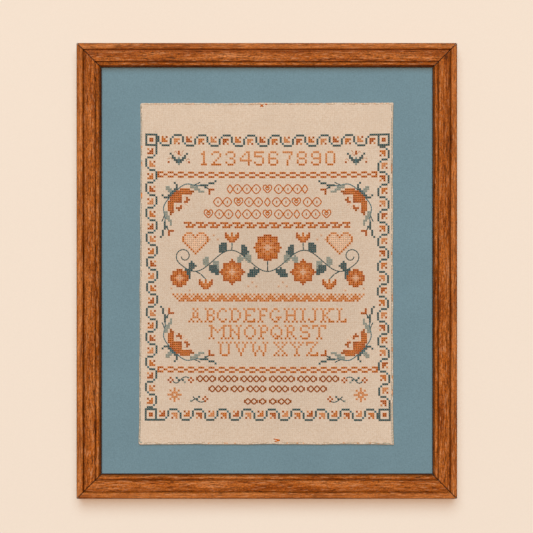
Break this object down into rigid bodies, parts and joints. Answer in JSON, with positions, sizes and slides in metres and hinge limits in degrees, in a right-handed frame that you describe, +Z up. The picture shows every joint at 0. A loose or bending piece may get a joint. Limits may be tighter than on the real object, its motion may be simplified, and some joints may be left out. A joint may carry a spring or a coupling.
{
  "type": "cross stitch sampler in an oak picture frame",
  "caption": "Flat embroidered cloth lying on a blue mount board inside a mitred, stained oak moulding frame that hangs on a wall.",
  "frame": {"origin": "middle of the back face of the top rail, where the frame meets the wall", "axes": "+Z up the frame's long side, +Y into the wall, so the stitched front faces -Y"},
  "size_m": [0.3382, 0.019, 0.4052],
  "materials": {
    "oak": "orange brown stained oak with a satin varnish",
    "board": "matt grey blue paper face",
    "cloth": "cream evenweave cotton with matt floss"
  },
  "bodies": {
    "root": {"frame_top": "oak", "frame_bottom": "oak", "frame_left": "oak", "frame_right": "oak", "mat_board": "board", "sampler_cloth": "cloth"}
  },
  "joints": []
}
